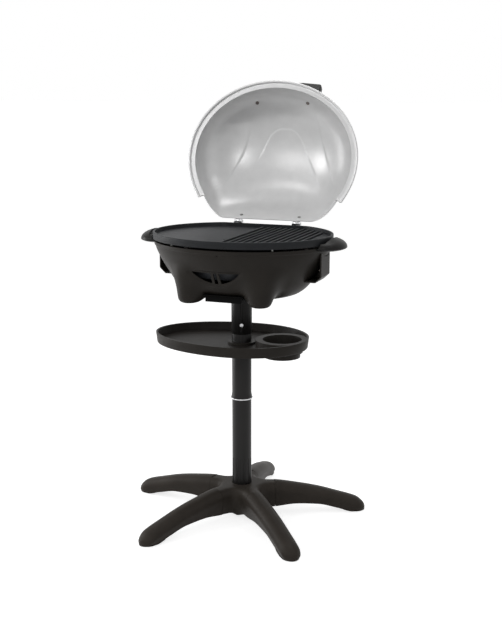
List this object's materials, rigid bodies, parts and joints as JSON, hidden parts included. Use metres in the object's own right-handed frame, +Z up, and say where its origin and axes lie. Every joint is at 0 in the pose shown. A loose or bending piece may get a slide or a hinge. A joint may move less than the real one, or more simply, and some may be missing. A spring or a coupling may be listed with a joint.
{
  "type": "electric barbecue grill",
  "caption": "Free-standing electric grill: oval plate in a dark bowl with a hinged silver dome lid, on a column with a side tray and a star foot of arched legs.",
  "frame": {"origin": "on the floor, under the middle of the whole object's bounding box with the lid open", "axes": "+Z up, -Y towards the user, who stands at the lid's open side; +X to the user's right, where the inlet and the tray's cup recess are"},
  "size_m": [0.5906, 0.6214, 1.0653],
  "materials": {
    "dark_plastic": "satin charcoal moulding",
    "stand_plastic": "satin black-brown moulding",
    "black_plastic": "satin black heat-proof plastic",
    "column_paint": "satin black paint on steel tube",
    "lid_paint": "silver-grey lacquer on pressed steel",
    "nonstick": "dark non-stick coat on cast aluminium",
    "bright": "bright plated steel",
    "screw_steel": "zinc-plated steel",
    "pan_metal": "dull heat-proof coat on steel sheet",
    "tray_enamel": "matt black enamel on steel sheet",
    "heater_steel": "heat-darkened steel tube",
    "pad_rubber": "matt black rubber"
  },
  "bodies": {
    "stand": {"base_hub": "stand_plastic", "leg_1": "stand_plastic", "leg_2": "stand_plastic", "leg_3": "stand_plastic", "leg_4": "stand_plastic", "leg_5": "stand_plastic", "foot_pads": "pad_rubber", "leg_screws": "screw_steel", "lower_tube": "column_paint", "tube_plug": "black_plastic", "hub_bolt": "screw_steel", "tube_coupler": "screw_steel", "joint_ring": "bright", "upper_tube": "column_paint", "side_tray": "dark_plastic", "tray_screws": "screw_steel", "column_head": "black_plastic", "head_screw": "bright"},
    "grill": {"bowl": "dark_plastic", "handle_left": "black_plastic", "handle_right": "black_plastic", "handle_screws": "screw_steel", "socket_guard": "dark_plastic", "left_guard": "dark_plastic", "inlet_pins": "heater_steel", "grill_plate": "nonstick", "plate_studs": "screw_steel", "reflector_pan": "pan_metal", "heating_element": "heater_steel", "element_clips": "screw_steel", "hinge_base_left": "bright", "hinge_base_right": "bright", "hinge_pins": "screw_steel", "hinge_base_screws": "screw_steel", "drip_guide": "black_plastic"},
    "lid": {"lid_shell": "lid_paint", "lid_handle": "black_plastic", "lid_handle_screws": "heater_steel", "hinge_leaf_left": "bright", "hinge_leaf_right": "bright", "hinge_leaf_screws": "screw_steel"},
    "drip_tray": {"drip_tray": "tray_enamel"}
  },
  "joints": [
    {"name": "grill_lift", "type": "slide", "parent": "stand", "child": "grill", "axis": [0, 0, 1], "range_m": [0, 0.045]},
    {"name": "lid_hinge", "type": "hinge", "parent": "grill", "child": "lid", "pos_m": [0.0121, 0.14503, 0.714], "axis": [1, 0, 0], "range_deg": [0, 100.45]},
    {"name": "drip_tray_slide", "type": "slide", "parent": "grill", "child": "drip_tray", "axis": [0, -1, 0], "range_m": [0, 0.06]}
  ]
}
